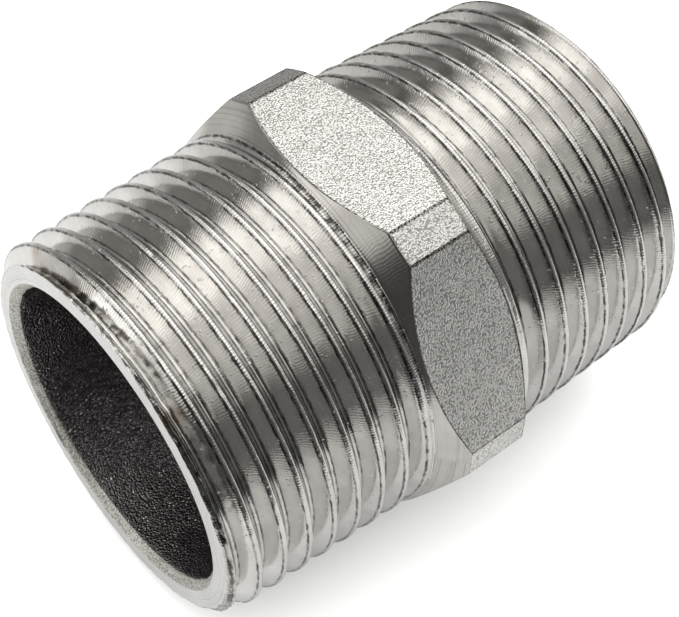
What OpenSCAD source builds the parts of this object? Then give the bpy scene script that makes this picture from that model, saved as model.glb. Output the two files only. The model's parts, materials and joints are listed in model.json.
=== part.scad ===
// Hexagon nipple: one casting with a male taper pipe thread on each side of a
// wrench hexagon, and a round bore from end to end.
// The nipple lies along X with a wrench flat upward, and the origin is its centre.

/* [Overall] */
// Length from end face to end face
overall_length = 37; // [32:0.5:50]
// Diameter of the bore, the same from end to end
bore_diameter = 20.8; // [16:0.1:21.4]
// Width of the chamfer inside each mouth of the bore
mouth_chamfer = 0.5; // [0.2:0.1:0.8]

/* [Hexagon] */
// Distance across the wrench flats
across_flats = 27.5; // [27.2:0.1:33]
// How far each corner is cut back from the sharp hexagon
corner_cut = 0.66; // [0.3:0.02:1.2]
// Width of the hexagon, measured where its shoulders meet the threads
hex_width = 7.2; // [6:0.1:12]
// Slope of each turned shoulder, measured from the end face
shoulder_angle = 38; // [20:1:45]

/* [Threads] */
// Distance from one turn of thread to the next
thread_pitch = 1.814; // [1.6:0.001:2.4]
// Diameter over the crests at the end face, before the nose is chamfered
thread_diameter = 26.03; // [25:0.01:26.2]
// Depth of the thread from crest to root
thread_depth = 1.2; // [0.8:0.05:1.25]
// Width of the flat land on each crest
crest_land = 0.22; // [0.1:0.01:0.3]
// Growth of the diameter for each millimetre towards the hexagon
thread_taper = 0.0625; // [0:0.0025:0.07]
// Width of the chamfer on the nose of each thread
nose_chamfer = 0.8; // [0.4:0.05:1.1]
// Turns over which the last groove fades out at the hexagon
runout_turns = 0.6; // [0.4:0.1:1.5]
// Angle round the axis at which the left thread starts
left_start_angle = 323; // [0:1:359]
// Angle round the axis at which the right thread starts
right_start_angle = 169; // [0:1:359]

/* [Detail] */
// Steps round each thread
thread_steps = 48; // [24:4:60]

/* [Hidden] */

turned_steel = "#a8a7a3";
cast_steel = "#8d8a83";
round_steps = 96;
flank_angle = 30;        // lean of each thread flank from square to the axis
overshoot = 1;           // how far a cutting tool runs past what it cuts
edge_snap = 0.02;        // a thread edge nearer than this to a face ends on that face

thread_length = (overall_length - hex_width) / 2;
bore_radius = bore_diameter / 2;
nose_radius = thread_diameter / 2;
shoulder_radius = nose_radius + thread_length * thread_taper / 2;
corner_radius = across_flats / 2 / cos(30);
corner_apothem = corner_radius - corner_cut;

// Edges of one turn of thread, in pitches: foot, crest, crest and foot of its two flanks
flank_turns = thread_depth * tan(flank_angle) / thread_pitch;
crest_turns = crest_land / thread_pitch;
turn_edges = [0, flank_turns, flank_turns + crest_turns, 2 * flank_turns + crest_turns];
thread_edges = [
    for (turn = [-1 : ceil(thread_length / thread_pitch) + 1])
        for (edge = turn_edges) turn + edge
];

function clamp(value, low, high) = min(max(value, low), high);

// Height above the root, from 0 to 1, at a share of one turn
function profile_height(share) =
    share < turn_edges[1] ? share / turn_edges[1]
    : share < turn_edges[2] ? 1
    : share < turn_edges[3] ? (turn_edges[3] - share) / flank_turns
    : 0;

// Depth of the groove at a distance from the end face
function groove_depth(distance) =
    thread_depth * clamp((thread_length - distance) / (runout_turns * thread_pitch), 0, 1);

// Radius at a distance from the end face, for a place in turns along the thread
function thread_radius(distance, turns) =
    min(nose_radius + distance * thread_taper / 2
            - groove_depth(distance) * (1 - profile_height(turns - floor(turns))),
        nose_radius - nose_chamfer + distance);

// Distance of a thread edge from the end face, kept between the two faces
function edge_distance(turns) =
    let (distance = turns * thread_pitch)
    distance < edge_snap ? 0 : distance > thread_length - edge_snap ? thread_length : distance;

function ring_point(distance, turns, angle) =
    let (radius = thread_radius(distance, turns))
    [distance, radius * cos(angle), radius * sin(angle)];

// Solid body of one right-hand thread, from its end face at X = 0 along +X
module thread_body(start_angle) {
    rows = len(thread_edges);
    per_turn = len(turn_edges);
    lead = function(column) (column * 360 / thread_steps - start_angle) / 360;
    distance = function(column, row) edge_distance(thread_edges[row] + lead(column));

    points = [
        for (column = [0 : thread_steps - 1])
            for (row = [0 : rows - 1])
                let (x = distance(column, row))
                ring_point(x, x / thread_pitch - lead(column), column * 360 / thread_steps)
    ];

    // Rows that lie on the same face share their first or last point, and the last
    // column meets the first one a whole turn further along
    first_row = function(column)
        max([for (row = [0 : rows - 1]) if (distance(column, row) == 0) row]);
    last_row = function(column)
        min([for (row = [0 : rows - 1]) if (distance(column, row) == thread_length) row]);
    point_in = function(column, row)
        column * rows + clamp(row, first_row(column), last_row(column));
    point_at = function(column, row)
        column < thread_steps ? point_in(column, row) : point_in(0, row + per_turn);

    sides = [
        for (column = [0 : thread_steps - 1])
            for (row = [-per_turn : rows - 2])
                let (a = point_at(column, row), b = point_at(column, row + 1),
                     c = point_at(column + 1, row + 1), d = point_at(column + 1, row))
                each [if (a != b && b != c) [a, b, c], if (c != d && d != a) [a, c, d]]
    ];
    end_face = [for (column = [0 : thread_steps - 1]) point_in(column, 0)];
    hex_face = [for (column = [thread_steps - 1 : -1 : 0]) point_in(column, rows - 1)];
    polyhedron(points, concat(sides, [end_face, hex_face]));
}

// Cutter for the bore, with a mouth chamfer at X = 0
module bore_cutter(length) {
    mouth = bore_radius + mouth_chamfer;
    rotate([0, 90, 0]) {
        translate([0, 0, -overshoot])
            cylinder(h = length + 2 * overshoot, r = bore_radius, $fn = round_steps);
        translate([0, 0, -overshoot])
            cylinder(h = overshoot + mouth_chamfer, r1 = mouth + overshoot,
                     r2 = bore_radius, $fn = round_steps);
    }
}

module threaded_end(start_angle) {
    difference() {
        thread_body(start_angle);
        bore_cutter(thread_length);
    }
}

// Plain hexagonal bar along X, with its first flat turned this far from straight up
module hexagon(flats, turn) {
    rotate([30 + turn, 0, 0])
        rotate([0, 90, 0])
            cylinder(h = hex_width + 2 * overshoot, r = flats / 2 / cos(30), center = true,
                     $fn = 6);
}

// Turned outline of the two shoulders, which slope up from the threads and would meet
// in a ridge if the hexagon were wide enough to reach it
module shoulder_envelope() {
    half = hex_width / 2;
    ridge_radius = shoulder_radius + half / tan(shoulder_angle);
    rotate([0, 90, 0])
        rotate_extrude($fn = round_steps)
            polygon([[0, -half], [shoulder_radius, -half], [ridge_radius, 0],
                     [shoulder_radius, half], [0, half]]);
}

module left_threaded_end() {
    color(turned_steel)
        translate([-overall_length / 2, 0, 0])
            threaded_end(left_start_angle);
}

module hex_collar() {
    color(cast_steel)
        difference() {
            intersection() {
                hexagon(across_flats, 0);
                hexagon(2 * corner_apothem, 30);
                shoulder_envelope();
            }
            rotate([0, 90, 0])
                cylinder(h = hex_width + 2 * overshoot, r = bore_radius, center = true,
                         $fn = round_steps);
        }
}

module right_threaded_end() {
    color(turned_steel)
        rotate([0, 0, 180])
            translate([-overall_length / 2, 0, 0])
                threaded_end(right_start_angle);
}

left_threaded_end();
hex_collar();
right_threaded_end();
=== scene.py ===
"""Hex nipple: the finished look of one cast and turned pipe fitting.

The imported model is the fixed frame. The nipple lies along X on a wrench flat. Each of its
three zones, two threaded ends and the hexagon between them, is one closed mesh that stands
for its node. Lengths in the classes are in millimetres; meshes are in metres.
"""

import json
import logging
import math
from dataclasses import dataclass, field
from enum import Enum

import bmesh
import bpy
import numpy as np
from mathutils import Matrix, Vector


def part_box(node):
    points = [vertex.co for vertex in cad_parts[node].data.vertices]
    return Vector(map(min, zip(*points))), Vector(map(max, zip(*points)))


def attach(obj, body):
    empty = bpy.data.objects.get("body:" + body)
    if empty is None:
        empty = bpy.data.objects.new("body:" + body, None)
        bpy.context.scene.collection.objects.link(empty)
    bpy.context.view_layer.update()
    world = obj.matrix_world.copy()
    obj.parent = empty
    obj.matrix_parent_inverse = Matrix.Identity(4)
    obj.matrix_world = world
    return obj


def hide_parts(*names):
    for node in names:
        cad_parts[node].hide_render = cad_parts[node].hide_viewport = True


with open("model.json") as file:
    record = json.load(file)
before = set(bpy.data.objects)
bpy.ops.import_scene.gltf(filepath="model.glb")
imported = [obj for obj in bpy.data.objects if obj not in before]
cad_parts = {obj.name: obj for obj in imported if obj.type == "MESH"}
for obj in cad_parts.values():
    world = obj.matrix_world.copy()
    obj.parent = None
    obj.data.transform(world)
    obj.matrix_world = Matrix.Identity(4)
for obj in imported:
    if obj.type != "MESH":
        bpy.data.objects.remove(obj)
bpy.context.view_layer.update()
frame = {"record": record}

MM = 0.001
LOG = logging.getLogger("hex_nipple")
Socket = bpy.types.NodeSocket
Rings = list[np.ndarray]


class Slot(Enum):
    """Material slots that the record names."""

    TURNED = "turned_steel"
    CAST = "cast_steel"


class Node(Enum):
    """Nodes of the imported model, one for each zone of the casting."""

    LEFT = "left_threaded_end"
    HEXAGON = "hex_collar"
    RIGHT = "right_threaded_end"


# ---------------------------------------------------------------------------
# Node trees
# ---------------------------------------------------------------------------


class Tree:
    """Writes one node tree with short calls."""

    def __init__(self, tree: bpy.types.NodeTree) -> None:
        """Starts from an empty tree.

        Args:
            tree: The node tree to fill. Nodes that it holds are removed.
        """
        self.tree = tree
        tree.nodes.clear()

    def node(self, kind: str, inputs: dict | None = None, **settings: object) -> bpy.types.Node:
        """Adds one node.

        Args:
            kind: The node's type name.
            inputs: What feeds its inputs, by name or number: a socket or a plain value.
            settings: The node's own settings.

        Returns:
            The new node.
        """
        made = self.tree.nodes.new(kind)
        for name, value in settings.items():
            setattr(made, name, value)
        for name, value in (inputs or {}).items():
            self.feed(made.inputs[name], value)
        return made

    def feed(self, socket: Socket, value: object) -> None:
        """Links a socket to an input, or sets the input's own value.

        Args:
            socket: The input to feed.
            value: A socket or a plain value.
        """
        if isinstance(value, bpy.types.NodeSocket):
            self.tree.links.new(value, socket)
        else:
            socket.default_value = value

    def math(self, operation: str, *values: object, clamp: bool = False) -> Socket:
        """Adds a Math node.

        Args:
            operation: The node's operation.
            values: What feeds its inputs, in order.
            clamp: Whether the result stays from 0 to 1.

        Returns:
            The result.
        """
        made = self.node("ShaderNodeMath", dict(enumerate(values)), operation=operation)
        made.use_clamp = clamp
        return made.outputs[0]

    def times(self, first: object, second: object) -> Socket:
        """Multiplies two values."""
        return self.math("MULTIPLY", first, second)

    def minus(self, first: object, second: object) -> Socket:
        """Takes the second value from the first."""
        return self.math("SUBTRACT", first, second)

    def add_share(self, value: object, share: object, base: object, clamp: bool = False) -> Socket:
        """Adds a share of a value to a base."""
        return self.math("MULTIPLY_ADD", value, share, base, clamp=clamp)

    def use(self, group: bpy.types.NodeTree, inputs: dict[str, object]) -> bpy.types.Node:
        """Adds a shader group with its inputs fed."""
        return self.node("ShaderNodeGroup", inputs, node_tree=group)

    def between(self, value: object, low: object, high: object,
                to_low: object = 0.0, to_high: object = 1.0, smooth: bool = False) -> Socket:
        """Maps a value from one range to another, clamped at both ends.

        Args:
            value: The number to map.
            low: Where the first range starts.
            high: Where the first range ends.
            to_low: The result at low.
            to_high: The result at high.
            smooth: Whether the result eases in and out.

        Returns:
            The mapped number.
        """
        made = self.node("ShaderNodeMapRange", {0: value, 1: low, 2: high, 3: to_low, 4: to_high})
        if smooth:
            made.interpolation_type = "SMOOTHSTEP"
        return made.outputs[0]

    def mix(self, share: object, first: object, second: object) -> Socket:
        """Mixes two colours.

        Args:
            share: Share of the second colour, from 0 to 1.
            first: The first colour.
            second: The second colour.

        Returns:
            The mixed colour.
        """
        made = self.node("ShaderNodeMix", data_type="RGBA")
        for name, value in (("Factor_Float", share), ("A_Color", first), ("B_Color", second)):
            self.feed(next(s for s in made.inputs if s.identifier == name), value)
        return next(s for s in made.outputs if s.identifier == "Result_Color")

    def noise(self, vector: Socket, scale: object, detail: float = 2.0,
              roughness: float = 0.5, w: object = None) -> Socket:
        """Adds a Noise Texture.

        Args:
            vector: Where it is read.
            scale: Its scale, in cells for each unit of the vector.
            detail: How many finer layers it has.
            roughness: How strong the finer layers are.
            w: Fourth coordinate, where it takes one.

        Returns:
            Its value, in the middle of 0 to 1.
        """
        made = self.node("ShaderNodeTexNoise", {"Vector": vector, "Scale": scale})
        if w is not None:
            made.noise_dimensions = "4D"
            self.feed(made.inputs["W"], w)
        made.inputs["Detail"].default_value = detail
        made.inputs["Roughness"].default_value = roughness
        return made.outputs[0]

    def cells(self, vector: Socket, scale: object) -> Socket:
        """Adds a Voronoi Texture and returns the distance to its nearest point."""
        return self.node("ShaderNodeTexVoronoi", {"Vector": vector, "Scale": scale}).outputs["Distance"]


def new_group(name: str, kind: str, inputs: dict[str, tuple[str, object]],
              outputs: dict[str, str]) -> tuple[bpy.types.NodeTree, dict[str, Socket], Tree]:
    """Makes a node group with named sockets.

    Args:
        name: The group's name.
        kind: The tree's type, such as ShaderNodeTree.
        inputs: Socket type and first value of each named input.
        outputs: Socket type of each named output.

    Returns:
        The group, its inputs by name inside the group, and a writer for it.
    """
    group = bpy.data.node_groups.new(name, kind)
    writer = Tree(group)
    for label, (socket, value) in inputs.items():
        made = group.interface.new_socket(label, in_out="INPUT", socket_type=socket)
        if value is not None:
            made.default_value = value
    for label, socket in outputs.items():
        group.interface.new_socket(label, in_out="OUTPUT", socket_type=socket)
    entry = writer.node("NodeGroupInput")
    return group, {label: entry.outputs[label] for label in inputs}, writer


# ---------------------------------------------------------------------------
# Effects that more than one finish uses
# ---------------------------------------------------------------------------

NUMBER = "NodeSocketFloat"
VECTOR = "NodeSocketVector"


class Effects:
    """Shader groups shared by the finishes, each built once.

    The noise scales are in cells for each metre, and the ranges are where a noise starts to
    count and where it counts in full.
    """

    GRITS, FINE, COARSE = 0.8, 0.6, 0.25
    PIT_RANGE = (0.84, 0.7)
    MARKS_AROUND = 430
    MARK_WANDER = 14.0
    LINE_BREAKS = 3.0
    WANDER_SCALE, PATCH_SCALE = 900.0, 420.0
    PATCH_RANGE, FAINTEST = (0.32, 0.6), 0.25
    TICK_HEIGHT, LINE_HEIGHT = 0.12, 0.2
    BLOTCH_RANGE = (0.35, 0.65)

    def __init__(self) -> None:
        """Builds every shared effect."""
        self.grain = self._grain()
        self.tool_marks = self._tool_marks()
        self.blotches = self._blotches()

    def _grain(self) -> bpy.types.NodeTree:
        """Grain of a cast surface: rounded grits with dark pits between them.

        Returns:
            The shader group.
        """
        group, given, tree = new_group(
            "cast_grain", "ShaderNodeTree",
            {"Vector": (VECTOR, None), "Grit size": (NUMBER, 0.2)},
            {"Height": NUMBER, "Pits": NUMBER})
        scale = tree.math("DIVIDE", 1 / MM, given["Grit size"])
        coarse = tree.noise(given["Vector"], tree.times(scale, 0.5), 1)
        fine = tree.noise(given["Vector"], scale, 1, 0.6)
        grits = tree.minus(1.0, tree.cells(given["Vector"], scale))
        height = tree.add_share(grits, self.GRITS, tree.times(fine, self.FINE))
        height = tree.add_share(coarse, self.COARSE, height)
        pits = tree.between(height, *self.PIT_RANGE)
        tree.node("NodeGroupOutput", {"Height": height, "Pits": pits})
        return group

    def _tool_marks(self) -> bpy.types.NodeTree:
        """Feed lines along a turned surface, and chatter marks square to them.

        Returns:
            The shader group.
        """
        group, given, tree = new_group(
            "tool_marks", "ShaderNodeTree",
            {"Along": (NUMBER, 0.0), "Around": (NUMBER, 0.0), "Vector": (VECTOR, None),
             "Feed": (NUMBER, 0.06), "Chatter": (NUMBER, 1.0)},
            {"Height": NUMBER, "Lines": NUMBER, "Ticks": NUMBER})
        feed = tree.math("DIVIDE", given["Along"], given["Feed"])
        breaks = tree.times(given["Around"], self.LINE_BREAKS)
        place = tree.node("ShaderNodeCombineXYZ", {0: feed, 1: breaks})
        lines = tree.noise(place.outputs[0], 1.0, 3, 0.65)
        wander = tree.noise(given["Vector"], self.WANDER_SCALE, 1)
        beat = tree.times(given["Around"], self.MARKS_AROUND * 2 * math.pi)
        beat = tree.add_share(wander, self.MARK_WANDER, beat)
        ticks = tree.math("SINE", beat)
        patches = tree.between(tree.noise(given["Vector"], self.PATCH_SCALE, 3), *self.PATCH_RANGE,
                               self.FAINTEST, 1.0)
        ticks = tree.times(tree.times(ticks, patches), given["Chatter"])
        height = tree.add_share(ticks, self.TICK_HEIGHT, tree.times(lines, self.LINE_HEIGHT))
        tree.node("NodeGroupOutput", {"Height": height, "Lines": lines, "Ticks": ticks})
        return group

    def _blotches(self) -> bpy.types.NodeTree:
        """Soft uneven patches left by handling.

        Returns:
            The shader group.
        """
        group, given, tree = new_group(
            "handling_blotches", "ShaderNodeTree",
            {"Vector": (VECTOR, None), "Patch size": (NUMBER, 2.0)}, {"Amount": NUMBER})
        scale = tree.math("DIVIDE", 1 / MM, given["Patch size"])
        amount = tree.between(tree.noise(given["Vector"], scale, 4, 0.6), *self.BLOTCH_RANGE)
        tree.node("NodeGroupOutput", {"Amount": amount})
        return group


# ---------------------------------------------------------------------------
# Finishes
# ---------------------------------------------------------------------------


@dataclass(frozen=True)
class Line:
    """Thin dark line of painted shade where a value of the surface crosses a place."""

    place: float
    half_width: float
    share: float
    core: float = 0.3

    def mask(self, tree: Tree, value: Socket) -> Socket:
        """Mask that is 1 along the middle of the line and 0 outside it."""
        away = tree.math("ABSOLUTE", tree.minus(value, self.place))
        return tree.between(away, self.half_width, self.half_width * self.core)


@dataclass(frozen=True)
class Finish:
    """What every steel finish of the casting shares."""

    name: str
    colour: tuple[float, float, float]
    shade: tuple[float, float, float]
    roughness: float
    bump: float
    stretch: float = 0.0

    def start(self) -> tuple[bpy.types.Material, Tree, bpy.types.Node, Socket]:
        """Makes the material with its metal shader.

        Returns:
            The material, a writer for its tree, the shader and the object coordinates.
        """
        material = bpy.data.materials.new(self.name)
        material.use_nodes = True
        material.diffuse_color = (*self.colour, 1.0)
        tree = Tree(material.node_tree)
        shader = tree.node("ShaderNodeBsdfPrincipled", {
            "Metallic": 1.0, "Roughness": self.roughness, "Anisotropic": self.stretch})
        tree.node("ShaderNodeOutputMaterial", {"Surface": shader.outputs[0]})
        place = tree.node("ShaderNodeTexCoord").outputs["Object"]
        return material, tree, shader, place

    def dress(self, tree: Tree, shader: bpy.types.Node, dark: Socket, rough: Socket,
              height: Socket, relief: float) -> None:
        """Feeds the shader its changing colour, roughness and surface.

        Args:
            tree: Writer of the material's tree.
            shader: The metal shader.
            dark: Share of the shade colour, from 0 to 1.
            rough: The roughness.
            height: Height of the surface.
            relief: How deep one unit of height is, in millimetres.
        """
        tree.feed(shader.inputs["Base Color"], tree.mix(dark, (*self.colour, 1.0), (*self.shade, 1.0)))
        tree.feed(shader.inputs["Roughness"], rough)
        bump = tree.node("ShaderNodeBump", {"Strength": self.bump, "Distance": relief * MM,
                                            "Height": height})
        tree.feed(shader.inputs["Normal"], bump.outputs[0])

    @staticmethod
    def tint(tree: Tree, shader: bpy.types.Node, share: Socket,
             colour: tuple[float, float, float]) -> None:
        """Mixes one more colour over the colour that the shader has."""
        plain = shader.inputs["Base Color"].links[0].from_socket
        tree.feed(shader.inputs["Base Color"], tree.mix(share, plain, (*colour, 1.0)))


@dataclass(frozen=True)
class TurnedThread(Finish):
    """Thread cut on a lathe: glossy flanks, nicked crests, and roots darkened with painted shade.

    The lines of painted shade along the crest's edge and in the root lie at a share of the thread's
    height, and the one at the rim lies at a distance in millimetres from the end face.
    """

    feed: float = 0.05
    relief: float = 0.012
    # Lines of painted shade: along the crest's edge, in the root, and near the rim where the groove
    # starts.
    crest: Line = Line(0.91, 0.07, 1.0)
    root: Line = Line(0.06, 0.05, 0.75)
    rim: Line = Line(0.24, 0.2, 1.0)
    rim_groove: float = -2.5
    dent: float = -1.0
    speck: float = 1.5
    stain: tuple[float, float, float] = (0.26, 0.19, 0.13)
    stain_reach: float = 2.4

    RAGGED_SCALE, BREAK_SCALE, STAIN_SCALE = 3200.0, 1500.0, 230.0
    SPECK_SCALE, SPECK_PATCH_SCALE = 2600.0, 1100.0
    CREST_RANGE, ROOT_RANGE = (0.55, 0.9), (0.14, 0.0)
    BREAK_RANGE, STAIN_RANGE, DENT_RANGE = (0.4, 0.6), (0.6, 0.72), (0.52, 0.7)
    SPECK_RANGE, SPECK_PATCH_RANGE = (0.26, 0.1), (0.5, 0.58)
    # Shares of the dark colour: painted shade in the thread's root and real handling blotches; then the
    # share of the real stain.
    ROOT_DIRT, BLOTCH_DIRT, STAIN_SHARE = 0.2, 0.14, 0.6
    # Shares of painted shade between the chatter marks, on the flanks and near the crests.
    FLANK_COMB, CREST_COMB = 0.08, 0.36
    RAGGED_LINE, RAGGED_RIM = 0.14, 0.3
    MARKS_ROUGH, BLOTCH_ROUGH, POLISH = 0.1, 0.04, 0.03

    def build(self, effects: Effects) -> bpy.types.Material:
        """Makes the material, which reads the thread's own height, turn, around and inset.

        Args:
            effects: The shared shader groups.

        Returns:
            The material.
        """
        material, tree, shader, place = self.start()
        value = {label: tree.node("ShaderNodeAttribute", attribute_name=label).outputs["Fac"]
                 for label in ("height", "turn", "around", "inset")}
        marks = tree.use(effects.tool_marks, {"Along": value["turn"], "Around": value["around"],
                                              "Vector": place, "Feed": self.feed})
        blotch = tree.use(effects.blotches, {"Vector": place})
        ragged = tree.noise(place, self.RAGGED_SCALE, 3, 0.7)
        near_crest = tree.between(value["height"], *self.CREST_RANGE)
        lines = self._lines(tree, value, ragged)
        dark = self._dirt(tree, value["height"], near_crest, marks, blotch)
        broken = tree.between(tree.noise(place, self.BREAK_SCALE, 2), *self.BREAK_RANGE, 0.35, 1.0)
        # Painted shade: the dark lines along the crest, the root and the rim, broken in places.
        for line, mask in lines.items():
            dark = tree.add_share(mask, tree.times(broken, line.share), dark, clamp=True)
        rough = self.roughness - self.POLISH
        rough = tree.add_share(marks.outputs["Lines"], self.MARKS_ROUGH, rough)
        rough = tree.add_share(blotch.outputs[0], self.BLOTCH_ROUGH, rough)
        height = self._relief(tree, place, marks, near_crest, ragged)
        height = tree.add_share(lines[self.rim], self.rim_groove, height)
        self.dress(tree, shader, dark, rough, height, self.relief)
        patch = tree.between(tree.noise(place, self.STAIN_SCALE, 2), *self.STAIN_RANGE)
        stain = tree.times(patch, tree.between(value["inset"], self.stain_reach, 1.0))
        self.tint(tree, shader, tree.times(stain, self.STAIN_SHARE), self.stain)
        tree.feed(shader.inputs["Tangent"], tree.node("ShaderNodeCombineXYZ", {0: 1.0}).outputs[0])
        return material

    def _lines(self, tree: Tree, value: dict[str, Socket], ragged: Socket) -> dict[Line, Socket]:
        """Masks of the ragged lines of painted shade along the crest, the root and the rim.

        Args:
            tree: Writer of the material's tree.
            value: What the thread stores, by name.
            ragged: The noise that moves the lines.

        Returns:
            A mask for each line.
        """
        shift = tree.minus(ragged, 0.5)
        wavy = tree.add_share(shift, self.RAGGED_LINE, value["height"])
        torn = tree.add_share(shift, self.RAGGED_RIM, value["inset"])
        return {self.crest: self.crest.mask(tree, wavy), self.root: self.root.mask(tree, wavy),
                self.rim: self.rim.mask(tree, torn)}

    def _dirt(self, tree: Tree, height: Socket, near_crest: Socket, marks: bpy.types.Node,
              blotch: bpy.types.Node) -> Socket:
        """Share of the dark colour: painted shade in the root and between the chatter marks, and real
        handling blotches.

        Args:
            tree: Writer of the material's tree.
            height: The thread's height, from 0 at the root to 1 at the crest.
            near_crest: Mask of the thread's upper part.
            marks: The tool marks.
            blotch: The blotches.

        Returns:
            The share, from 0 to 1.
        """
        # Painted shade: the thread's root is darkened where shade falls in the groove; the blotches are
        # real handling marks.
        dark = tree.add_share(tree.between(height, *self.ROOT_RANGE), self.ROOT_DIRT,
                              tree.times(blotch.outputs[0], self.BLOTCH_DIRT))
        # Painted shade between the chatter ridges, stronger near the crest; the ridges themselves are only
        # bump.
        comb = tree.between(marks.outputs["Ticks"], -0.2, 1.0)
        strength = tree.between(near_crest, 0.0, 1.0, self.FLANK_COMB, self.CREST_COMB)
        return tree.add_share(comb, strength, dark)

    def _relief(self, tree: Tree, place: Socket, marks: bpy.types.Node, near_crest: Socket,
                ragged: Socket) -> Socket:
        """Height of the tool marks, the dents along the crest and the scattered specks.

        Args:
            tree: Writer of the material's tree.
            place: The object coordinates.
            marks: The tool marks, twice as high along the crest.
            near_crest: Mask of the thread's upper part.
            ragged: The noise that places the dents.

        Returns:
            The height.
        """
        dents = tree.times(tree.between(ragged, *self.DENT_RANGE), near_crest)
        dots = tree.between(tree.cells(place, self.SPECK_SCALE), *self.SPECK_RANGE)
        patches = tree.noise(place, self.SPECK_PATCH_SCALE, 1)
        specks = tree.times(dots, tree.between(patches, *self.SPECK_PATCH_RANGE))
        height = tree.times(marks.outputs["Height"], tree.between(near_crest, 0.0, 1.0, 1.0, 2.0))
        height = tree.add_share(dents, self.dent, height)
        return tree.add_share(specks, self.speck, height)


@dataclass(frozen=True)
class TurnedFace(Finish):
    """Surface of revolution faced on a lathe, such as a shoulder or an end face."""

    rings: float = 0.08
    chatter: float = 0.4
    relief: float = 0.01

    LINE_RANGE, LINE_SHADE, BLOTCH_SHADE = (0.52, 0.68), 0.5, 0.2
    LINE_ROUGH, POLISH = 0.14, 0.05

    def build(self, effects: Effects) -> bpy.types.Material:
        """Makes the material, whose marks follow the distance from the axis.

        Args:
            effects: The shared shader groups.

        Returns:
            The material.
        """
        material, tree, shader, place = self.start()
        _, y, z = tree.node("ShaderNodeSeparateXYZ", {0: place}).outputs
        radius = tree.math("SQRT", tree.math("ADD", tree.times(y, y),
                                             tree.times(z, z)))
        around = tree.math("DIVIDE", tree.math("ARCTAN2", z, y), 2 * math.pi)
        marks = tree.use(effects.tool_marks, {
            "Along": tree.math("DIVIDE", radius, MM), "Around": around, "Vector": place,
            "Feed": self.rings, "Chatter": self.chatter})
        blotch = tree.use(effects.blotches, {"Vector": place})
        lines = marks.outputs["Lines"]
        dark = tree.add_share(tree.between(lines, *self.LINE_RANGE), self.LINE_SHADE,
                              tree.times(blotch.outputs[0], self.BLOTCH_SHADE))
        rough = tree.add_share(lines, self.LINE_ROUGH, self.roughness - self.POLISH)
        self.dress(tree, shader, dark, rough, marks.outputs["Height"], self.relief)
        return material


@dataclass(frozen=True)
class CastSkin(Finish):
    """Grit-blasted cast surface, darker along its edges, with painted glints where it has them: lighter
    spots of colour that stand in for sparkles of light.
    """

    grit: float = 0.22
    depth: float = 0.05
    pits: float = 0.5
    # Painted glints: their share, their spacing and their light colour.
    glints: float = 0.0
    glint_gap: float = 0.5
    glint: tuple[float, float, float] = (0.9, 0.86, 0.83)
    edge_share: float = 0.6

    EDGE_RANGE, BLOTCH_SHADE, PIT_ROUGH = (0.2, 0.8), 0.1, 0.12
    FACET_RANGE, GLINT_SCALE, GLINT_RANGE = (0.3, 0.15), 700.0, (0.45, 0.6)

    def build(self, effects: Effects) -> bpy.types.Material:
        """Makes the material, which reads the mesh's own edge mark.

        Args:
            effects: The shared shader groups.

        Returns:
            The material.
        """
        material, tree, shader, place = self.start()
        grain = tree.use(effects.grain, {"Vector": place, "Grit size": self.grit})
        blotch = tree.use(effects.blotches, {"Vector": place})
        edge = tree.node("ShaderNodeAttribute", attribute_name="edge").outputs["Fac"]
        edge = tree.times(tree.between(edge, *self.EDGE_RANGE), self.edge_share)
        dark = tree.add_share(blotch.outputs[0], self.BLOTCH_SHADE, edge)
        dark = tree.add_share(grain.outputs["Pits"], self.pits, dark, clamp=True)
        rough = tree.add_share(grain.outputs["Pits"], self.PIT_ROUGH, self.roughness)
        self.dress(tree, shader, dark, rough, grain.outputs["Height"], self.depth)
        # Painted glints: small lighter spots of colour that stand in for sparkles of light.
        if self.glints:
            facets = tree.between(tree.cells(place, 1 / MM / self.glint_gap), *self.FACET_RANGE)
            patches = tree.between(tree.noise(place, self.GLINT_SCALE, 2), *self.GLINT_RANGE)
            facets = tree.times(facets, patches)
            self.tint(tree, shader, tree.times(facets, self.glints), self.glint)
        return material


@dataclass
class Finishes:
    """Every finish of the casting, built once."""

    effects: Effects = field(default_factory=Effects)

    def __post_init__(self) -> None:
        """Builds the materials."""
        # The thread's dark colour carries painted shade in its roots, along its dark lines and between the
        # chatter marks, as well as the real handling blotches.
        self.thread = TurnedThread("turned_thread", (0.68, 0.67, 0.65), (0.06, 0.055, 0.05),
                                   0.11, 0.7, 0.5).build(self.effects)
        self.face = TurnedFace("faced_end", (0.68, 0.675, 0.67), (0.36, 0.35, 0.34),
                               0.26, 0.8).build(self.effects)
        self.shoulder = TurnedFace("turned_shoulder", (0.52, 0.505, 0.48), (0.2, 0.185, 0.17),
                                   0.16, 0.6, chatter=1.0).build(self.effects)
        self.mouth = CastSkin("rough_mouth", (0.62, 0.61, 0.57), (0.16, 0.15, 0.13), 0.42, 0.9,
                              grit=0.13, depth=0.04).build(self.effects)
        self.hexagon = CastSkin("blasted_hexagon", (0.72, 0.715, 0.69), (0.04, 0.035, 0.03), 0.3, 1.0,
                                grit=0.12, depth=0.028, pits=0.5).build(self.effects)
        # The bore's glints are painted: lighter spots of colour for sparkles of light.
        self.bore = CastSkin("cast_bore", (0.2, 0.18, 0.185), (0.06, 0.05, 0.055), 0.3, 1.0, grit=0.16,
                             depth=0.08, pits=0.5, glints=0.9, glint_gap=0.25).build(self.effects)


# ---------------------------------------------------------------------------
# Shapes
# ---------------------------------------------------------------------------


def smooth_max(first: np.ndarray, second: np.ndarray, blend: float) -> np.ndarray:
    """The larger of two values, rounded where they cross.

    Args:
        first: First values.
        second: Second values.
        blend: How far from the crossing the rounding starts.

    Returns:
        The blended values.
    """
    share = np.maximum(blend - np.abs(first - second), 0.0) / blend
    return np.maximum(first, second) + share ** 3 * blend / 6


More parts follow.
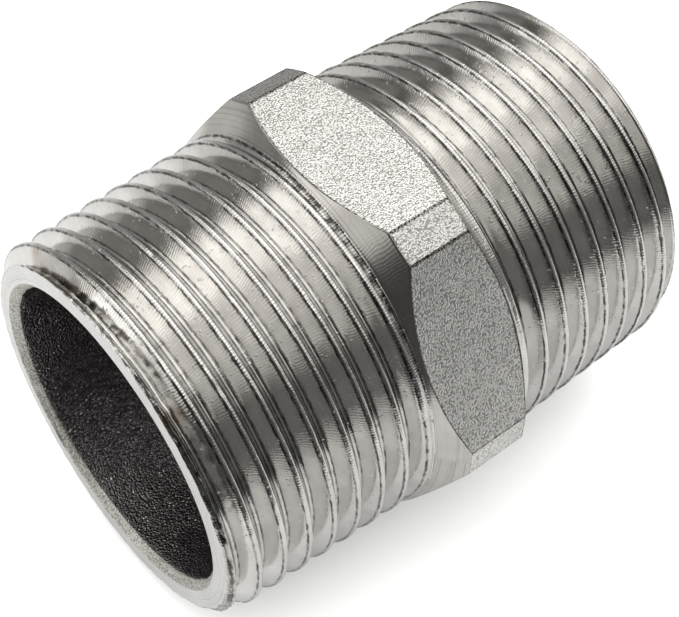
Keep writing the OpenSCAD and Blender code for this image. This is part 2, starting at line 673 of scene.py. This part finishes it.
def hash_noise(points: np.ndarray, size: float, seed: int) -> np.ndarray:
    """Smooth value noise from -1 to 1 at points in millimetres.

    Args:
        points: Points, one row each.
        size: Distance over which the noise changes.
        seed: Number that picks the pattern.

    Returns:
        One value for each point.
    """
    scaled = points / size
    cell = np.floor(scaled).astype(np.int64)
    part = scaled - cell
    ease = part * part * (3 - 2 * part)
    total = np.zeros(len(points))
    for corner in np.ndindex(2, 2, 2):
        key = (cell + corner).astype(np.uint64)
        mixed = (key[:, 0] * np.uint64(73856093) ^ key[:, 1] * np.uint64(19349663)
                 ^ key[:, 2] * np.uint64(83492791) ^ np.uint64(seed * 2654435761))
        mixed = (mixed ^ (mixed >> np.uint64(13))) * np.uint64(1274126177)
        value = ((mixed ^ (mixed >> np.uint64(16))) & np.uint64(0xFFFF)).astype(float) / 32767.5 - 1
        weight = np.prod(np.where(corner, ease, 1 - ease), axis=1)
        total += weight * value
    return total


def ring(distance: np.ndarray | float, radius: np.ndarray | float, angles: np.ndarray) -> np.ndarray:
    """One closed ring of points round the X axis, in millimetres."""
    spread = np.ones_like(angles)
    return np.stack([spread * distance, radius * np.cos(angles), radius * np.sin(angles)], axis=1)


def roughen(points: np.ndarray, depth: float, seed: int, sizes: tuple[float, ...]) -> np.ndarray:
    """Moves points in or out from the X axis by a cast surface's unevenness.

    Args:
        points: Points in millimetres, one row each.
        depth: Depth of the largest bumps.
        seed: Number that picks the pattern.
        sizes: Sizes of the bumps, the largest first.

    Returns:
        The moved points.
    """
    lift = sum(hash_noise(points, size, seed + number) * depth * size / sizes[0]
               for number, size in enumerate(sizes))
    radius = np.hypot(points[:, 1], points[:, 2])
    moved = points.copy()
    moved[:, 1:] *= (1 + lift / radius)[:, None]
    return moved


@dataclass(frozen=True)
class Bore:
    """Straight cast hole and the rough chamfer at each mouth."""

    radius: float
    mouth: float = 0.5
    step: float = 0.3
    ridge_at: float = 5.6
    ridge: float = 0.06
    ridge_slope: float = 0.06
    unevenness: float = 0.035
    bumps: tuple[float, ...] = (1.1, 0.5)
    seed: int = 5

    def wall(self, start: float, end: float, angles: np.ndarray, end_face: float) -> Rings:
        """Rings of the bore's wall from start to end along X.

        Args:
            start: Where the wall starts, in millimetres along X.
            end: Where it ends.
            angles: Angles of the columns.
            end_face: Place of the nearer end face, from which the ridge is measured.

        Returns:
            The rings, in order.
        """
        count = max(2, round(abs(end - start) / self.step))
        rings = []
        for place in np.linspace(start, end, count + 1):
            depth = abs(place - end_face)
            raised = self.ridge / (1 + math.exp(-(depth - self.ridge_at) / self.ridge_slope))
            flat = ring(place, self.radius - raised, angles)
            rings.append(roughen(flat, self.unevenness, self.seed, self.bumps))
        return rings


class RingMesh:
    """Joins rings of equal length into one closed mesh."""

    def __init__(self) -> None:
        """Starts with no rings."""
        self.bm = bmesh.new()
        self.edge = self.bm.verts.layers.float.new("edge")
        self.last: list[bmesh.types.BMVert] = []
        self.first: list[bmesh.types.BMVert] = []

    def start_from(self, loop: list[bmesh.types.BMVert]) -> None:
        """Takes vertices that are already in the mesh as the ring to go on from."""
        self.last = loop

    def add(self, points: np.ndarray, material: int, smooth: bool = True) -> None:
        """Adds a ring and the faces to the ring before it.

        Args:
            points: The ring, in millimetres.
            material: Number of the faces' material.
            smooth: Whether the faces are shaded smooth.
        """
        made = [self.bm.verts.new(point * MM) for point in points]
        if self.last:
            self.join(made, material, smooth)
        else:
            self.first = made
        self.last = made

    def mark_edge(self, chosen: np.ndarray | None = None) -> None:
        """Marks the last ring as the edge of a cast face.

        Args:
            chosen: Which of its points to mark, or None for all.
        """
        for number, vert in enumerate(self.last):
            if chosen is None or chosen[number]:
                vert[self.edge] = 1.0

    def join(self, loop: list[bmesh.types.BMVert], material: int, smooth: bool = True) -> None:
        """Adds the faces between the last ring and this one.

        Args:
            loop: The vertices of this ring.
            material: Number of the faces' material.
            smooth: Whether the faces are shaded smooth.
        """
        count = len(loop)
        for here in range(count):
            after = (here + 1) % count
            face = self.bm.faces.new((self.last[here], self.last[after], loop[after], loop[here]))
            face.material_index = material
            face.smooth = smooth

    def finish(self, name: str, materials: list[bpy.types.Material]) -> bpy.types.Object:
        """Turns the faces outwards and makes the object.

        Args:
            name: Name of the object and its mesh.
            materials: Its materials, in the order of their numbers.

        Returns:
            The object.
        """
        bmesh.ops.recalc_face_normals(self.bm, faces=self.bm.faces)
        mesh = bpy.data.meshes.new(name)
        self.bm.to_mesh(mesh)
        self.bm.free()
        for material in materials:
            mesh.materials.append(material)
        piece = bpy.data.objects.new(name, mesh)
        bpy.context.scene.collection.objects.link(piece)
        return piece


# ---------------------------------------------------------------------------
# Threaded ends
# ---------------------------------------------------------------------------


@dataclass(frozen=True)
class ThreadSize:
    """Sizes of one taper thread, in millimetres."""

    pitch: float = 1.814
    diameter: float = 26.03
    depth: float = 1.2
    crest_land: float = 0.22
    taper: float = 0.0625
    nose_chamfer: float = 0.8
    runout_turns: float = 0.6
    flank_angle: float = 30.0
    shoulder_angle: float = 38.0
    fillet: float = 0.16

    def crest_radius(self, distance: float) -> float:
        """Radius over the crests at a distance from the end face."""
        return (self.diameter + distance * self.taper) / 2

    @property
    def flank_width(self) -> float:
        """Length along the axis that one flank takes."""
        return self.depth * math.tan(math.radians(self.flank_angle))


class ThreadCutter:
    """Geometry Nodes tree that makes the outside of one right-hand taper thread."""

    ROWS_PER_TURN = 26
    COLUMNS = 288
    NOSE_ROUND, ROOT_ROUND, CREST_ROUND = 0.12, 0.10, 0.06
    MERGE = 0.001
    WEAR_RADIUS, WIDEST_NOSE = 13.0, 14.0
    BURR_SCALE, NICK_SCALE, TEAR_SCALE = 1.9, 0.9, 1.5
    BURR_HEIGHT, NICK_DEPTH = 1.6, 2.2
    WORN_CREST, NICK_RANGE = (0.8, 1.0), (0.6, 0.72)
    TEAR_RANGE, RIM_BAND = (0.42, 0.6, 0.25, -1.0), (0.85, 0.35)

    def __init__(self) -> None:
        """Builds the tree."""
        numbers = {"Length": 14.9, "Nose radius": 13.0, "Taper": 0.03, "Pitch": 1.8, "Depth": 1.2,
                   "Crest land": 0.2, "Flank width": 0.7, "Nose chamfer": 0.8, "Runout": 0.6,
                   "Start": 0.0, "Shoulder slope": 1.28, "Fillet": 0.16, "Wear": 0.03, "Rim wear": 0.1,
                   "Seed": 1.0, "Turns": 11.0}
        self.group = bpy.data.node_groups.new("taper_thread", "GeometryNodeTree")
        self.group.interface.new_socket("Geometry", in_out="OUTPUT", socket_type="NodeSocketGeometry")
        for label, value in numbers.items():
            made = self.group.interface.new_socket(label, in_out="INPUT", socket_type=NUMBER)
            made.default_value = value
        for label in ("Rows", "Columns"):
            self.group.interface.new_socket(label, in_out="INPUT", socket_type="NodeSocketInt")
        self.group.interface.new_socket("Material", in_out="INPUT", socket_type="NodeSocketMaterial")
        self._write()

    def _write(self) -> None:
        """Writes the nodes: a sheet of turns and angles, wrapped into the thread."""
        tree = Tree(self.group)
        given = {s.name: s for s in tree.node("NodeGroupInput").outputs if s.name}
        sheet = tree.node("GeometryNodeMeshGrid", {
            "Size X": given["Turns"], "Size Y": 1.0, "Vertices X": given["Rows"],
            "Vertices Y": given["Columns"]})
        flat = tree.node("ShaderNodeSeparateXYZ", {0: tree.node("GeometryNodeInputPosition").outputs[0]})
        turn = tree.minus(tree.add_share(given["Turns"], 0.5, flat.outputs[0]), 1.0)
        around = tree.math("ADD", flat.outputs[1], 0.5)
        lead = tree.minus(around, given["Start"])
        distance = tree.times(tree.math("ADD", turn, lead), given["Pitch"])
        distance = tree.math("MINIMUM", tree.math("MAXIMUM", distance, 0.0), given["Length"])
        turns = tree.minus(tree.math("DIVIDE", distance, given["Pitch"]), lead)
        height = self._profile(tree, given, turns)
        left = tree.minus(given["Length"], distance)
        runout = tree.times(given["Runout"], given["Pitch"])
        fade = tree.between(tree.math("DIVIDE", left, runout), 0.0, 1.0)
        groove = tree.times(given["Depth"], fade)
        crest = tree.add_share(distance, given["Taper"], given["Nose radius"])
        cut = tree.times(groove, tree.minus(1.0, height))
        radius = tree.minus(crest, cut)
        nose = tree.math("ADD", tree.minus(given["Nose radius"], given["Nose chamfer"]), distance)
        radius = tree.math("SMOOTH_MIN", radius, nose, self.NOSE_ROUND)
        shoulder = tree.add_share(given["Length"], given["Taper"], given["Nose radius"])
        shoulder = tree.minus(shoulder, tree.times(left, given["Shoulder slope"]))
        radius = tree.math("SMOOTH_MAX", radius, shoulder, given["Fillet"])
        angle = tree.times(around, 2 * math.pi)
        radius = self._wear(tree, given, radius, distance, angle, height, fade)
        place = tree.node("ShaderNodeCombineXYZ", {
            0: distance, 1: tree.times(radius, tree.math("COSINE", angle)),
            2: tree.times(radius, tree.math("SINE", angle))})
        shape = sheet.outputs[0]
        worn_height = tree.add_share(tree.minus(height, 1.0), fade, 1.0)
        stored = {"height": worn_height, "turn": turns, "around": around, "inset": distance}
        for label, value in stored.items():
            shape = tree.node("GeometryNodeStoreNamedAttribute",
                              {"Geometry": shape, "Name": label, "Value": value},
                              data_type="FLOAT", domain="CORNER").outputs[0]
        moved = tree.node("GeometryNodeSetPosition", {"Geometry": shape, "Position": place.outputs[0]})
        joined = tree.node("GeometryNodeMergeByDistance", {"Geometry": moved.outputs[0],
                                                           "Distance": self.MERGE})
        smooth = tree.node("GeometryNodeSetShadeSmooth", {"Geometry": joined.outputs[0]})
        real = tree.node("GeometryNodeRealizeInstances", {"Geometry": smooth.outputs[0]})
        dressed = tree.node("GeometryNodeSetMaterial", {"Geometry": real.outputs[0],
                                                        "Material": given["Material"]})
        tree.node("NodeGroupOutput", {"Geometry": dressed.outputs[0]})

    def _profile(self, tree: Tree, given: dict[str, Socket], turns: Socket) -> Socket:
        """Height of the profile at a number of turns.

        Args:
            tree: Writer of the group.
            given: The group's inputs.
            turns: Turns from the thread's start.

        Returns:
            The height, from 0 at the root to 1 at the crest.
        """
        half_land = tree.times(given["Crest land"], 0.5)
        middle = tree.math("DIVIDE", tree.math("ADD", given["Flank width"], half_land), given["Pitch"])
        nearest = tree.math("WRAP", tree.minus(turns, middle), 0.5, -0.5)
        away = tree.times(tree.math("ABSOLUTE", nearest), given["Pitch"])
        down = tree.math("DIVIDE", tree.minus(away, half_land), given["Flank width"])
        up = tree.minus(1.0, down)
        low = tree.math("SMOOTH_MAX", up, 0.0, self.ROOT_ROUND)
        return tree.math("SMOOTH_MIN", low, 1.0, self.CREST_ROUND)

    def _wear(self, tree: Tree, given: dict[str, Socket], radius: Socket, distance: Socket,
              angle: Socket, height: Socket, fade: Socket) -> Socket:
        """Radius after nicks and burrs along the crests, and tears at the rim.

        Args:
            tree: Writer of the group.
            given: The group's inputs.
            radius: Radius of the new thread.
            distance: Distance from the end face.
            angle: Angle round the axis.
            height: Height of the profile.
            fade: How much of the thread is left in its last turn.

        Returns:
            The worn radius.
        """
        spot = tree.node("ShaderNodeCombineXYZ", {
            0: distance, 1: tree.times(tree.math("COSINE", angle), self.WEAR_RADIUS),
            2: tree.times(tree.math("SINE", angle), self.WEAR_RADIUS)}).outputs[0]
        seed = given["Seed"]
        burr = tree.minus(tree.noise(spot, self.BURR_SCALE, 3, 0.7, w=seed), 0.5)
        nick = tree.noise(spot, self.NICK_SCALE, 2, 0.6, w=tree.math("ADD", seed, 9.0))
        nick = tree.times(tree.between(nick, *self.NICK_RANGE), self.NICK_DEPTH)
        change = tree.minus(tree.times(burr, self.BURR_HEIGHT), nick)
        change = tree.times(change, tree.between(height, *self.WORN_CREST))
        change = tree.times(change, given["Wear"])
        tear = tree.noise(spot, self.TEAR_SCALE, 3, 0.7, w=tree.math("ADD", seed, 4.0))
        tear = tree.times(tree.between(tear, *self.TEAR_RANGE), given["Rim wear"])
        tear = tree.times(tear, tree.between(distance, *self.RIM_BAND))
        change = tree.times(tree.math("ADD", change, tear), fade)
        widest = tree.add_share(distance, given["Taper"], self.WIDEST_NOSE)
        return tree.math("MINIMUM", tree.math("ADD", radius, change), widest)

    def cut(self, name: str, values: dict[str, object]) -> bpy.types.Mesh:
        """Runs the tree and returns its mesh, in millimetres.

        Args:
            name: Name of the mesh.
            values: The tree's inputs, by name.

        Returns:
            The open skin of the thread, from its end face at X = 0 to its shoulder.
        """
        blank = bpy.data.objects.new(name + "_blank", bpy.data.meshes.new(name + "_blank"))
        bpy.context.scene.collection.objects.link(blank)
        cutter = blank.modifiers.new("thread", "NODES")
        cutter.node_group = self.group
        for item in self.group.interface.items_tree:
            if item.item_type == "SOCKET" and item.in_out == "INPUT" and item.name in values:
                cutter[item.identifier] = values[item.name]
        graph = bpy.context.evaluated_depsgraph_get()
        mesh = bpy.data.meshes.new_from_object(blank.evaluated_get(graph), depsgraph=graph)
        bpy.data.objects.remove(blank)
        mesh.name = name
        return mesh


@dataclass
class ThreadedEnd:
    """One threaded end: the thread outside, an end face, a mouth chamfer and its bore."""

    node: Node
    start_angle: float
    turned_round: bool
    seed: int
    bore: Bore
    size: ThreadSize = field(default_factory=ThreadSize)
    wear: float = 0.035
    rim_wear: float = 0.02
    face_wave: float = 0.006
    mouth_depth: float = 0.08

    FACE_RINGS = (0.04, 0.1, 0.3, 0.55, 0.8, 0.95, 1.0)
    MOUTH_RINGS = (0.25, 0.5, 0.75, 1.0)
    MOUTH_BUMPS = (0.8, 0.4, 0.22)

    def build(self, cutter: ThreadCutter, finishes: Finishes) -> bpy.types.Object:
        """Makes the end as one closed mesh.

        Args:
            cutter: The thread's node tree.
            finishes: The materials.

        Returns:
            The piece, in place.
        """
        low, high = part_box(self.node.value)
        length = (high.x - low.x) / MM
        size = self.size
        turns = math.ceil(length / size.pitch) + 2
        values = {
            "Length": length, "Nose radius": size.diameter / 2, "Taper": size.taper / 2,
            "Pitch": size.pitch, "Depth": size.depth, "Crest land": size.crest_land,
            "Flank width": size.flank_width, "Nose chamfer": size.nose_chamfer,
            "Runout": size.runout_turns, "Start": self.start_angle / 360,
            "Shoulder slope": 1 / math.tan(math.radians(size.shoulder_angle)),
            "Fillet": size.fillet, "Wear": self.wear, "Rim wear": self.rim_wear,
            "Seed": float(self.seed), "Turns": float(turns),
            "Rows": turns * cutter.ROWS_PER_TURN + 1, "Columns": cutter.COLUMNS + 1,
            "Material": finishes.thread}
        skin = cutter.cut(self.node.value, values)
        body = RingMesh()
        body.bm.from_mesh(skin)
        bpy.data.meshes.remove(skin)
        rim, shoulder = self._loops(body.bm, length)
        angles = np.array([math.atan2(v.co.z, v.co.y) for v in rim])
        radii = np.array([math.hypot(v.co.y, v.co.z) for v in rim])
        for vert in body.bm.verts:
            vert.co *= MM
        for thread_face in body.bm.faces:
            thread_face.material_index = 0
        self._close(body, rim, shoulder, angles, radii, length)
        piece = body.finish(self.node.value + "_steel",
                            [finishes.thread, finishes.face, finishes.mouth, finishes.bore])
        place = Matrix.Translation((low.x, 0, 0))
        if self.turned_round:
            place = Matrix.Rotation(math.pi, 4, "Z") @ Matrix.Translation((-high.x, 0, 0))
        piece.data.transform(place)
        return piece

    @staticmethod
    def _loops(bm: bmesh.types.BMesh, length: float) -> tuple[list, list]:
        """Boundary vertices of the thread's open skin.

        Args:
            bm: The skin, in millimetres.
            length: Its length.

        Returns:
            The vertices at the end face and those at the shoulder, by angle.
        """
        edge = [v for v in bm.verts if v.is_boundary]
        by_angle = sorted(edge, key=lambda v: math.atan2(v.co.z, v.co.y))
        rim = [v for v in by_angle if v.co.x < length / 2]
        shoulder = [v for v in by_angle if v.co.x > length / 2]
        return rim, shoulder

    def _close(self, body: RingMesh, rim: list, shoulder: list, angles: np.ndarray,
               radii: np.ndarray, length: float) -> None:
        """Adds the end face, the mouth, the bore and the inner ring to the thread.

        Args:
            body: The mesh, which holds the thread's skin.
            rim: Its vertices at the end face.
            shoulder: Its vertices at the shoulder.
            angles: Angles of the rim's vertices.
            radii: Their distances from the axis, in millimetres.
            length: Length of the end, in millimetres.
        """
        face, mouth, wall = 1, 2, 3
        mouth_radius = self.bore.radius + self.bore.mouth
        body.start_from(rim)
        for share in self.FACE_RINGS:
            radius = radii + (mouth_radius - radii) * share
            points = ring(0.0, radius, angles)
            points[:, 0] += self.face_wave * (1 + hash_noise(points, 1.3, self.seed + 3))
            body.add(points, face)
        for share in self.MOUTH_RINGS:
            points = ring(self.bore.mouth * share, mouth_radius - self.bore.mouth * share, angles)
            points = roughen(points, self.mouth_depth, self.seed + 7, self.MOUTH_BUMPS)
            body.add(points, mouth)
        start = self.bore.mouth + self.bore.step
        for points in self.bore.wall(start, length, angles, 0.0):
            body.add(points, wall)
        body.join(shoulder, face, smooth=False)


# ---------------------------------------------------------------------------
# Hexagon
# ---------------------------------------------------------------------------


@dataclass
class Hexagon:
    """Wrench hexagon with cut corners between two turned shoulders."""

    bore: Bore
    size: ThreadSize = field(default_factory=ThreadSize)
    corner_round: float = 0.28
    column_step: float = 0.16
    row_step: float = 0.16
    grain: float = 0.006
    waves: float = 0.012
    lip: float = 0.02
    seed: int = 41

    GRAIN_SIZES, WAVE_SIZE = (0.5, 0.24), 3.0
    SHOULDER_RINGS = (0.0, 0.04, 0.1, 0.2, 0.35, 0.5, 0.65, 0.8, 0.92, 0.985, 1.0)
    SIDES = 12

    def build(self, finishes: Finishes) -> bpy.types.Object:
        """Makes the hexagon as one closed mesh.

        Args:
            finishes: The materials.

        Returns:
            The piece, in place.
        """
        low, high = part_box(Node.HEXAGON.value)
        half = (high.x - low.x) / 2 / MM
        flat, corner = high.z / MM, high.y / MM
        left_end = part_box(Node.LEFT.value)[0].x / MM
        foot = self.size.crest_radius(abs(left_end) - half)
        outline = self._outline(flat, corner)
        angles = np.arctan2(outline[:, 1], outline[:, 0])
        reach = np.hypot(outline[:, 0], outline[:, 1])
        corners = np.linalg.norm(outline - np.roll(outline, 1, axis=0), axis=1) < self.corner_round / 3
        slope = math.tan(math.radians(self.size.shoulder_angle))
        body = RingMesh()
        shoulder, skin, wall, inner = 0, 1, 2, 3
        edge_x = half - (reach - foot) * slope
        for points in self._shoulder(half, foot, reach, slope, angles):
            body.add(points * np.array([-1, 1, 1]), shoulder)
        body.mark_edge()
        rows = round(2 * float(edge_x.max()) / self.row_step)
        for row in range(1, rows):
            place = -edge_x + 2 * edge_x * row / rows
            points = ring(place, reach, angles)
            lift = sum(hash_noise(points, size, self.seed + number) - 1
                       for number, size in enumerate(self.GRAIN_SIZES))
            waves = hash_noise(points, self.WAVE_SIZE, self.seed + len(self.GRAIN_SIZES)) - 1
            lift = self.grain * lift + self.waves * waves
            points[:, 1:] *= (1 + lift / reach)[:, None]
            body.add(points, skin)
            body.mark_edge(corners)
        for number, points in enumerate(reversed(self._shoulder(half, foot, reach, slope, angles))):
            body.add(points, skin if number == 0 else shoulder)
            if number == 0:
                body.mark_edge()
        for number, points in enumerate(self.bore.wall(half, -half, angles, left_end)):
            body.add(points, wall if number else inner)
        body.join(body.first, inner, smooth=False)
        return body.finish("hexagon_steel", [finishes.shoulder, finishes.hexagon, finishes.bore,
                                             finishes.face])

    def _outline(self, flat: float, corner: float) -> np.ndarray:
        """Points round the hexagon with its cut and softened corners, in Y and Z.

        Args:
            flat: Distance from the axis to a wrench flat.
            corner: Distance from the axis to a cut corner.

        Returns:
            The outline, counter-clockwise, evenly spaced along each side.
        """
        lines = []
        for number in range(self.SIDES):
            angle = math.radians(360 / self.SIDES * number)
            distance = corner if number % 2 == 0 else flat
            lines.append((np.array([math.cos(angle), math.sin(angle)]), distance))
        points = []
        for number in range(self.SIDES):
            before, here, after = lines[number - 1], lines[number], lines[(number + 1) % self.SIDES]
            start, end = self._meet(before, here), self._meet(here, after)
            along = (end - start) / np.linalg.norm(end - start)
            inset = self.corner_round * math.tan(math.pi / self.SIDES)
            start, end = start + along * inset, end - along * inset
            steps = max(2, round(np.linalg.norm(end - start) / self.column_step))
            points += [start + (end - start) * step / steps for step in range(steps + 1)]
            centre = end - here[0] * self.corner_round
            first = math.atan2(here[0][1], here[0][0])
            for step in (1, 2):
                turn = first + math.radians(10 * step)
                points.append(centre + self.corner_round * np.array([math.cos(turn), math.sin(turn)]))
        return np.array(points)

    @staticmethod
    def _meet(first: tuple[np.ndarray, float], second: tuple[np.ndarray, float]) -> np.ndarray:
        """Point where two lines, each a normal and a distance, cross."""
        return np.linalg.solve(np.array([first[0], second[0]]), np.array([first[1], second[1]]))

    def _shoulder(self, half: float, foot: float, reach: np.ndarray, slope: float,
                  angles: np.ndarray) -> Rings:
        """Rings of the right shoulder, from its foot at the thread out to the flats.

        Args:
            half: Half of the hexagon's width.
            foot: Radius of the shoulder's foot.
            reach: Distance of each column from the axis.
            slope: How far the shoulder falls back for each unit of radius.
            angles: Angles of the columns.

        Returns:
            The rings, in order.
        """
        rings = []
        for share in self.SHOULDER_RINGS:
            place = half - (reach - foot) * slope * share
            cone = foot + (half - place) / slope
            radius = smooth_max(cone, np.full_like(cone, foot), self.size.fillet)
            radius = np.minimum(radius, reach)
            if share == 1.0:
                radius = reach - self.lip
            rings.append(ring(place, radius, angles))
        return rings


# ---------------------------------------------------------------------------
# Studio
# ---------------------------------------------------------------------------


@dataclass(frozen=True)
class Panel:
    """A soft panel of light round the object, by its direction in degrees."""

    azimuth: float
    elevation: float
    width: float
    height: float
    strength: float
    soft_sides: float = 3.0
    soft_ends: float = 4.0


@dataclass
class Studio:
    """Pale floor, soft studio light and the camera."""

    azimuth: float = -40.34
    elevation: float = 51.7
    roll: float = 1.6
    distance: float = 107.29
    aim: tuple[float, float, float] = (-0.55, -0.51, -0.59)
    lens: float = 86.37
    board_left: float = -46.0
    board_front: float = -60.0
    board_back: float = 60.0
    reach: float = 170.0
    cloth_back: float = -3.0
    card_gap: float = 0.01
    dim: float = 0.07
    tent_colour: tuple[float, ...] = (1.0, 0.985, 0.96, 1.0)
    plain_colour: tuple[float, ...] = (1.0, 1.0, 0.995, 1.0)
    plain_strength: float = 1.7
    softbox_size: tuple[float, float] = (0.35, 0.3)
    softbox_watts: float = 0.6
    softbox_place: tuple[float, float, float] = (-0.08, -0.06, 0.42)
    panels: tuple[Panel, ...] = (
        Panel(0, 90, 400, 74, 1.5, 3, 6),
        Panel(126, 57, 60, 40, 2.5, 8, 4),
        Panel(18, 66, 50, 24, 2.1, 8, 6),
        Panel(80, 44, 40, 26, 1.4, 5, 5),
        Panel(38, 40, 50, 22, 1.0, 6, 5),
        Panel(78, 17, 26, 34, 1.5, 3, 4),
        Panel(115, 8, 14, 26, 1.3, 3, 4),
        Panel(152, 8, 56, 50, 0.36, 6, 5),
        Panel(-160, 8, 56, 50, 0.32, 6, 6),
        Panel(-168, -17, 72, 30, 0.8, 6, 5),
        Panel(-142, 42, 80, 24, 1.3, 6, 6),
        Panel(-117.8, 7, 21.5, 58, 1.6, 1, 5),
        Panel(-98, 5, 20, 44, 1.0, 1.2, 5),
        Panel(35, 8, 60, 44, 0.25, 8, 8),
    )

    def build(self) -> None:
        """Makes the floor, the light and the camera."""
        self._floor(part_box(Node.HEXAGON.value)[0].z)
        self._world()
        self._lamps()
        self._camera()
        bpy.context.scene.view_settings.view_transform = "Standard"

    def _floor(self, level: float) -> None:
        """Lays the pale floor that shows, and the cards that only reflections show.

        Args:
            level: Height of the floor, in metres.
        """
        wide, far = 2500.0, self.reach
        left, front, back = self.board_left, self.board_front, self.board_back
        corners = [(-wide, -wide), (wide, -wide), (wide, wide), (-wide, wide)]
        floor = self._card("floor", corners, level, self._paint("pale_floor", 0.93))
        floor.visible_glossy = False
        corners = [(-wide, -wide), (far, -wide), (far, self.cloth_back), (-wide, self.cloth_back)]
        cloth = self._card("dark_cloth", corners, level + self.card_gap * MM,
                           self._paint("dark_cloth", 0.04))
        corners = [(left, -8), (left + 20, front), (26, front - 18), (55, front - 80), (far, front - 80),
                   (far, back), (left, back)]
        board = self._card("white_board", corners, level + 2 * self.card_gap * MM,
                           self._paint("board", 0.6))
        for card in (board, cloth):
            card.visible_camera = card.visible_diffuse = card.visible_shadow = False

    @staticmethod
    def _paint(name: str, shade: float) -> bpy.types.Material:
        """Makes a matt, nearly neutral paint.

        Args:
            name: The paint's name.
            shade: How light it is, from 0 to 1.

        Returns:
            The material.
        """
        material = bpy.data.materials.new(name)
        material.use_nodes = True
        shader = material.node_tree.nodes["Principled BSDF"]
        shader.inputs["Base Color"].default_value = (shade, shade, shade * 0.993, 1.0)
        shader.inputs["Roughness"].default_value = 0.9
        shader.inputs["Specular IOR Level"].default_value = 0.1
        return material

    @staticmethod
    def _card(name: str, corners: list[tuple[float, float]], level: float,
              paint: bpy.types.Material) -> bpy.types.Object:
        """Lays a flat card of the stage at a level.

        Args:
            name: The card's name.
            corners: Its corners in millimetres, counter-clockwise.
            level: Its height in metres.
            paint: Its material.

        Returns:
            The card.
        """
        mesh = bpy.data.meshes.new(name)
        points = [Vector((x * MM, y * MM, level)) for x, y in corners]
        mesh.from_pydata(points, [], [range(len(points))])
        mesh.materials.append(paint)
        card = bpy.data.objects.new(name, mesh)
        bpy.context.scene.collection.objects.link(card)
        return card

    def _world(self) -> None:
        """Paints the light tent: pale to the eye and the floor, panelled in reflections."""
        world = bpy.data.worlds.new("light_tent")
        world.use_nodes = True
        world.cycles.sampling_method = "NONE"
        bpy.context.scene.world = world
        tree = Tree(world.node_tree)
        way = tree.node("ShaderNodeSeparateXYZ", {0: tree.node("ShaderNodeTexCoord").outputs["Generated"]})
        x, y, z = way.outputs
        azimuth = tree.math("DEGREES", tree.math("ARCTAN2", x, tree.times(y, -1.0)))
        elevation = tree.math("DEGREES", tree.math("ARCSINE", z))
        total = self.dim
        for panel in self.panels:
            side = tree.math("WRAP", tree.minus(azimuth, panel.azimuth), 180.0, -180.0)
            across = tree.between(tree.math("ABSOLUTE", side), panel.width / 2 + panel.soft_sides,
                                  panel.width / 2 - panel.soft_sides, smooth=True)
            lift = tree.math("ABSOLUTE", tree.minus(elevation, panel.elevation))
            along = tree.between(lift, panel.height / 2 + panel.soft_ends,
                                 panel.height / 2 - panel.soft_ends, smooth=True)
            glow = tree.times(tree.times(across, along), panel.strength)
            total = tree.math("MAXIMUM", total, glow)
        tent = tree.node("ShaderNodeBackground", {"Color": self.tent_colour, "Strength": total})
        plain = tree.node("ShaderNodeBackground", {"Color": self.plain_colour,
                                                   "Strength": self.plain_strength})
        glossy = tree.node("ShaderNodeLightPath").outputs["Is Glossy Ray"]
        both = tree.node("ShaderNodeMixShader", {0: glossy, 1: plain.outputs[0], 2: tent.outputs[0]})
        tree.node("ShaderNodeOutputWorld", {"Surface": both.outputs[0]})

    def _lamps(self) -> None:
        """Hangs a large softbox overhead, for the floor and its shadow."""
        data = bpy.data.lights.new("softbox", "AREA")
        data.shape = "RECTANGLE"
        data.size, data.size_y = self.softbox_size
        data.energy = self.softbox_watts
        data.color = (1.0, 0.99, 0.975)
        lamp = bpy.data.objects.new("softbox", data)
        lamp.location = self.softbox_place
        lamp.rotation_euler = (Vector((0, 0, 0)) - lamp.location).to_track_quat("-Z", "Y").to_euler()
        lamp.visible_glossy = False
        bpy.context.scene.collection.objects.link(lamp)

    def _camera(self) -> None:
        """Places the camera from its direction, roll and distance."""
        turn, lift, roll = (math.radians(v) for v in (self.azimuth, self.elevation, self.roll))
        back = Vector((math.sin(turn) * math.cos(lift), -math.cos(turn) * math.cos(lift), math.sin(lift)))
        right = Vector((0, 0, 1)).cross(back).normalized()
        up = back.cross(right)
        right, up = (right * math.cos(roll) + up * math.sin(roll),
                     up * math.cos(roll) - right * math.sin(roll))
        place = Vector(self.aim) * MM + back * self.distance * MM
        data = bpy.data.cameras.new("camera")
        data.lens = self.lens
        data.sensor_width = 36.0
        data.clip_start = 0.001
        camera = bpy.data.objects.new("camera", data)
        camera.matrix_world = Matrix((
            (right.x, up.x, back.x, place.x), (right.y, up.y, back.y, place.y),
            (right.z, up.z, back.z, place.z), (0, 0, 0, 1)))
        bpy.context.scene.collection.objects.link(camera)
        bpy.context.scene.camera = camera


# ---------------------------------------------------------------------------
# The whole nipple
# ---------------------------------------------------------------------------


def bore_radius() -> float:
    """Radius of the bore in millimetres, from the record's mount."""
    mounts = frame["record"]["mounts"]
    return next(m["dims"]["r_mm"] for m in mounts if m["name"] == "bore")


def keep(piece: bpy.types.Object, node: Node) -> None:
    """Puts a piece on the body in place of its node, and reports it.

    Args:
        piece: The piece.
        node: The node that it stands for.
    """
    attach(piece, "root")
    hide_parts(node.value)
    LOG.info("%s: %d faces, for node %s", piece.name, len(piece.data.polygons), node.value)


def main() -> None:
    """Builds the nipple and its studio."""
    logging.basicConfig(level=logging.INFO, format="%(name)s: %(message)s")
    Studio().build()
    finishes = Finishes()
    bore = Bore(bore_radius())
    cutter = ThreadCutter()
    left = ThreadedEnd(Node.LEFT, 323, False, 11, bore, rim_wear=0.112)
    right = ThreadedEnd(Node.RIGHT, 169, True, 23, bore)
    keep(left.build(cutter, finishes), Node.LEFT)
    keep(Hexagon(bore).build(finishes), Node.HEXAGON)
    keep(right.build(cutter, finishes), Node.RIGHT)


if __name__ == "__main__":
    main()
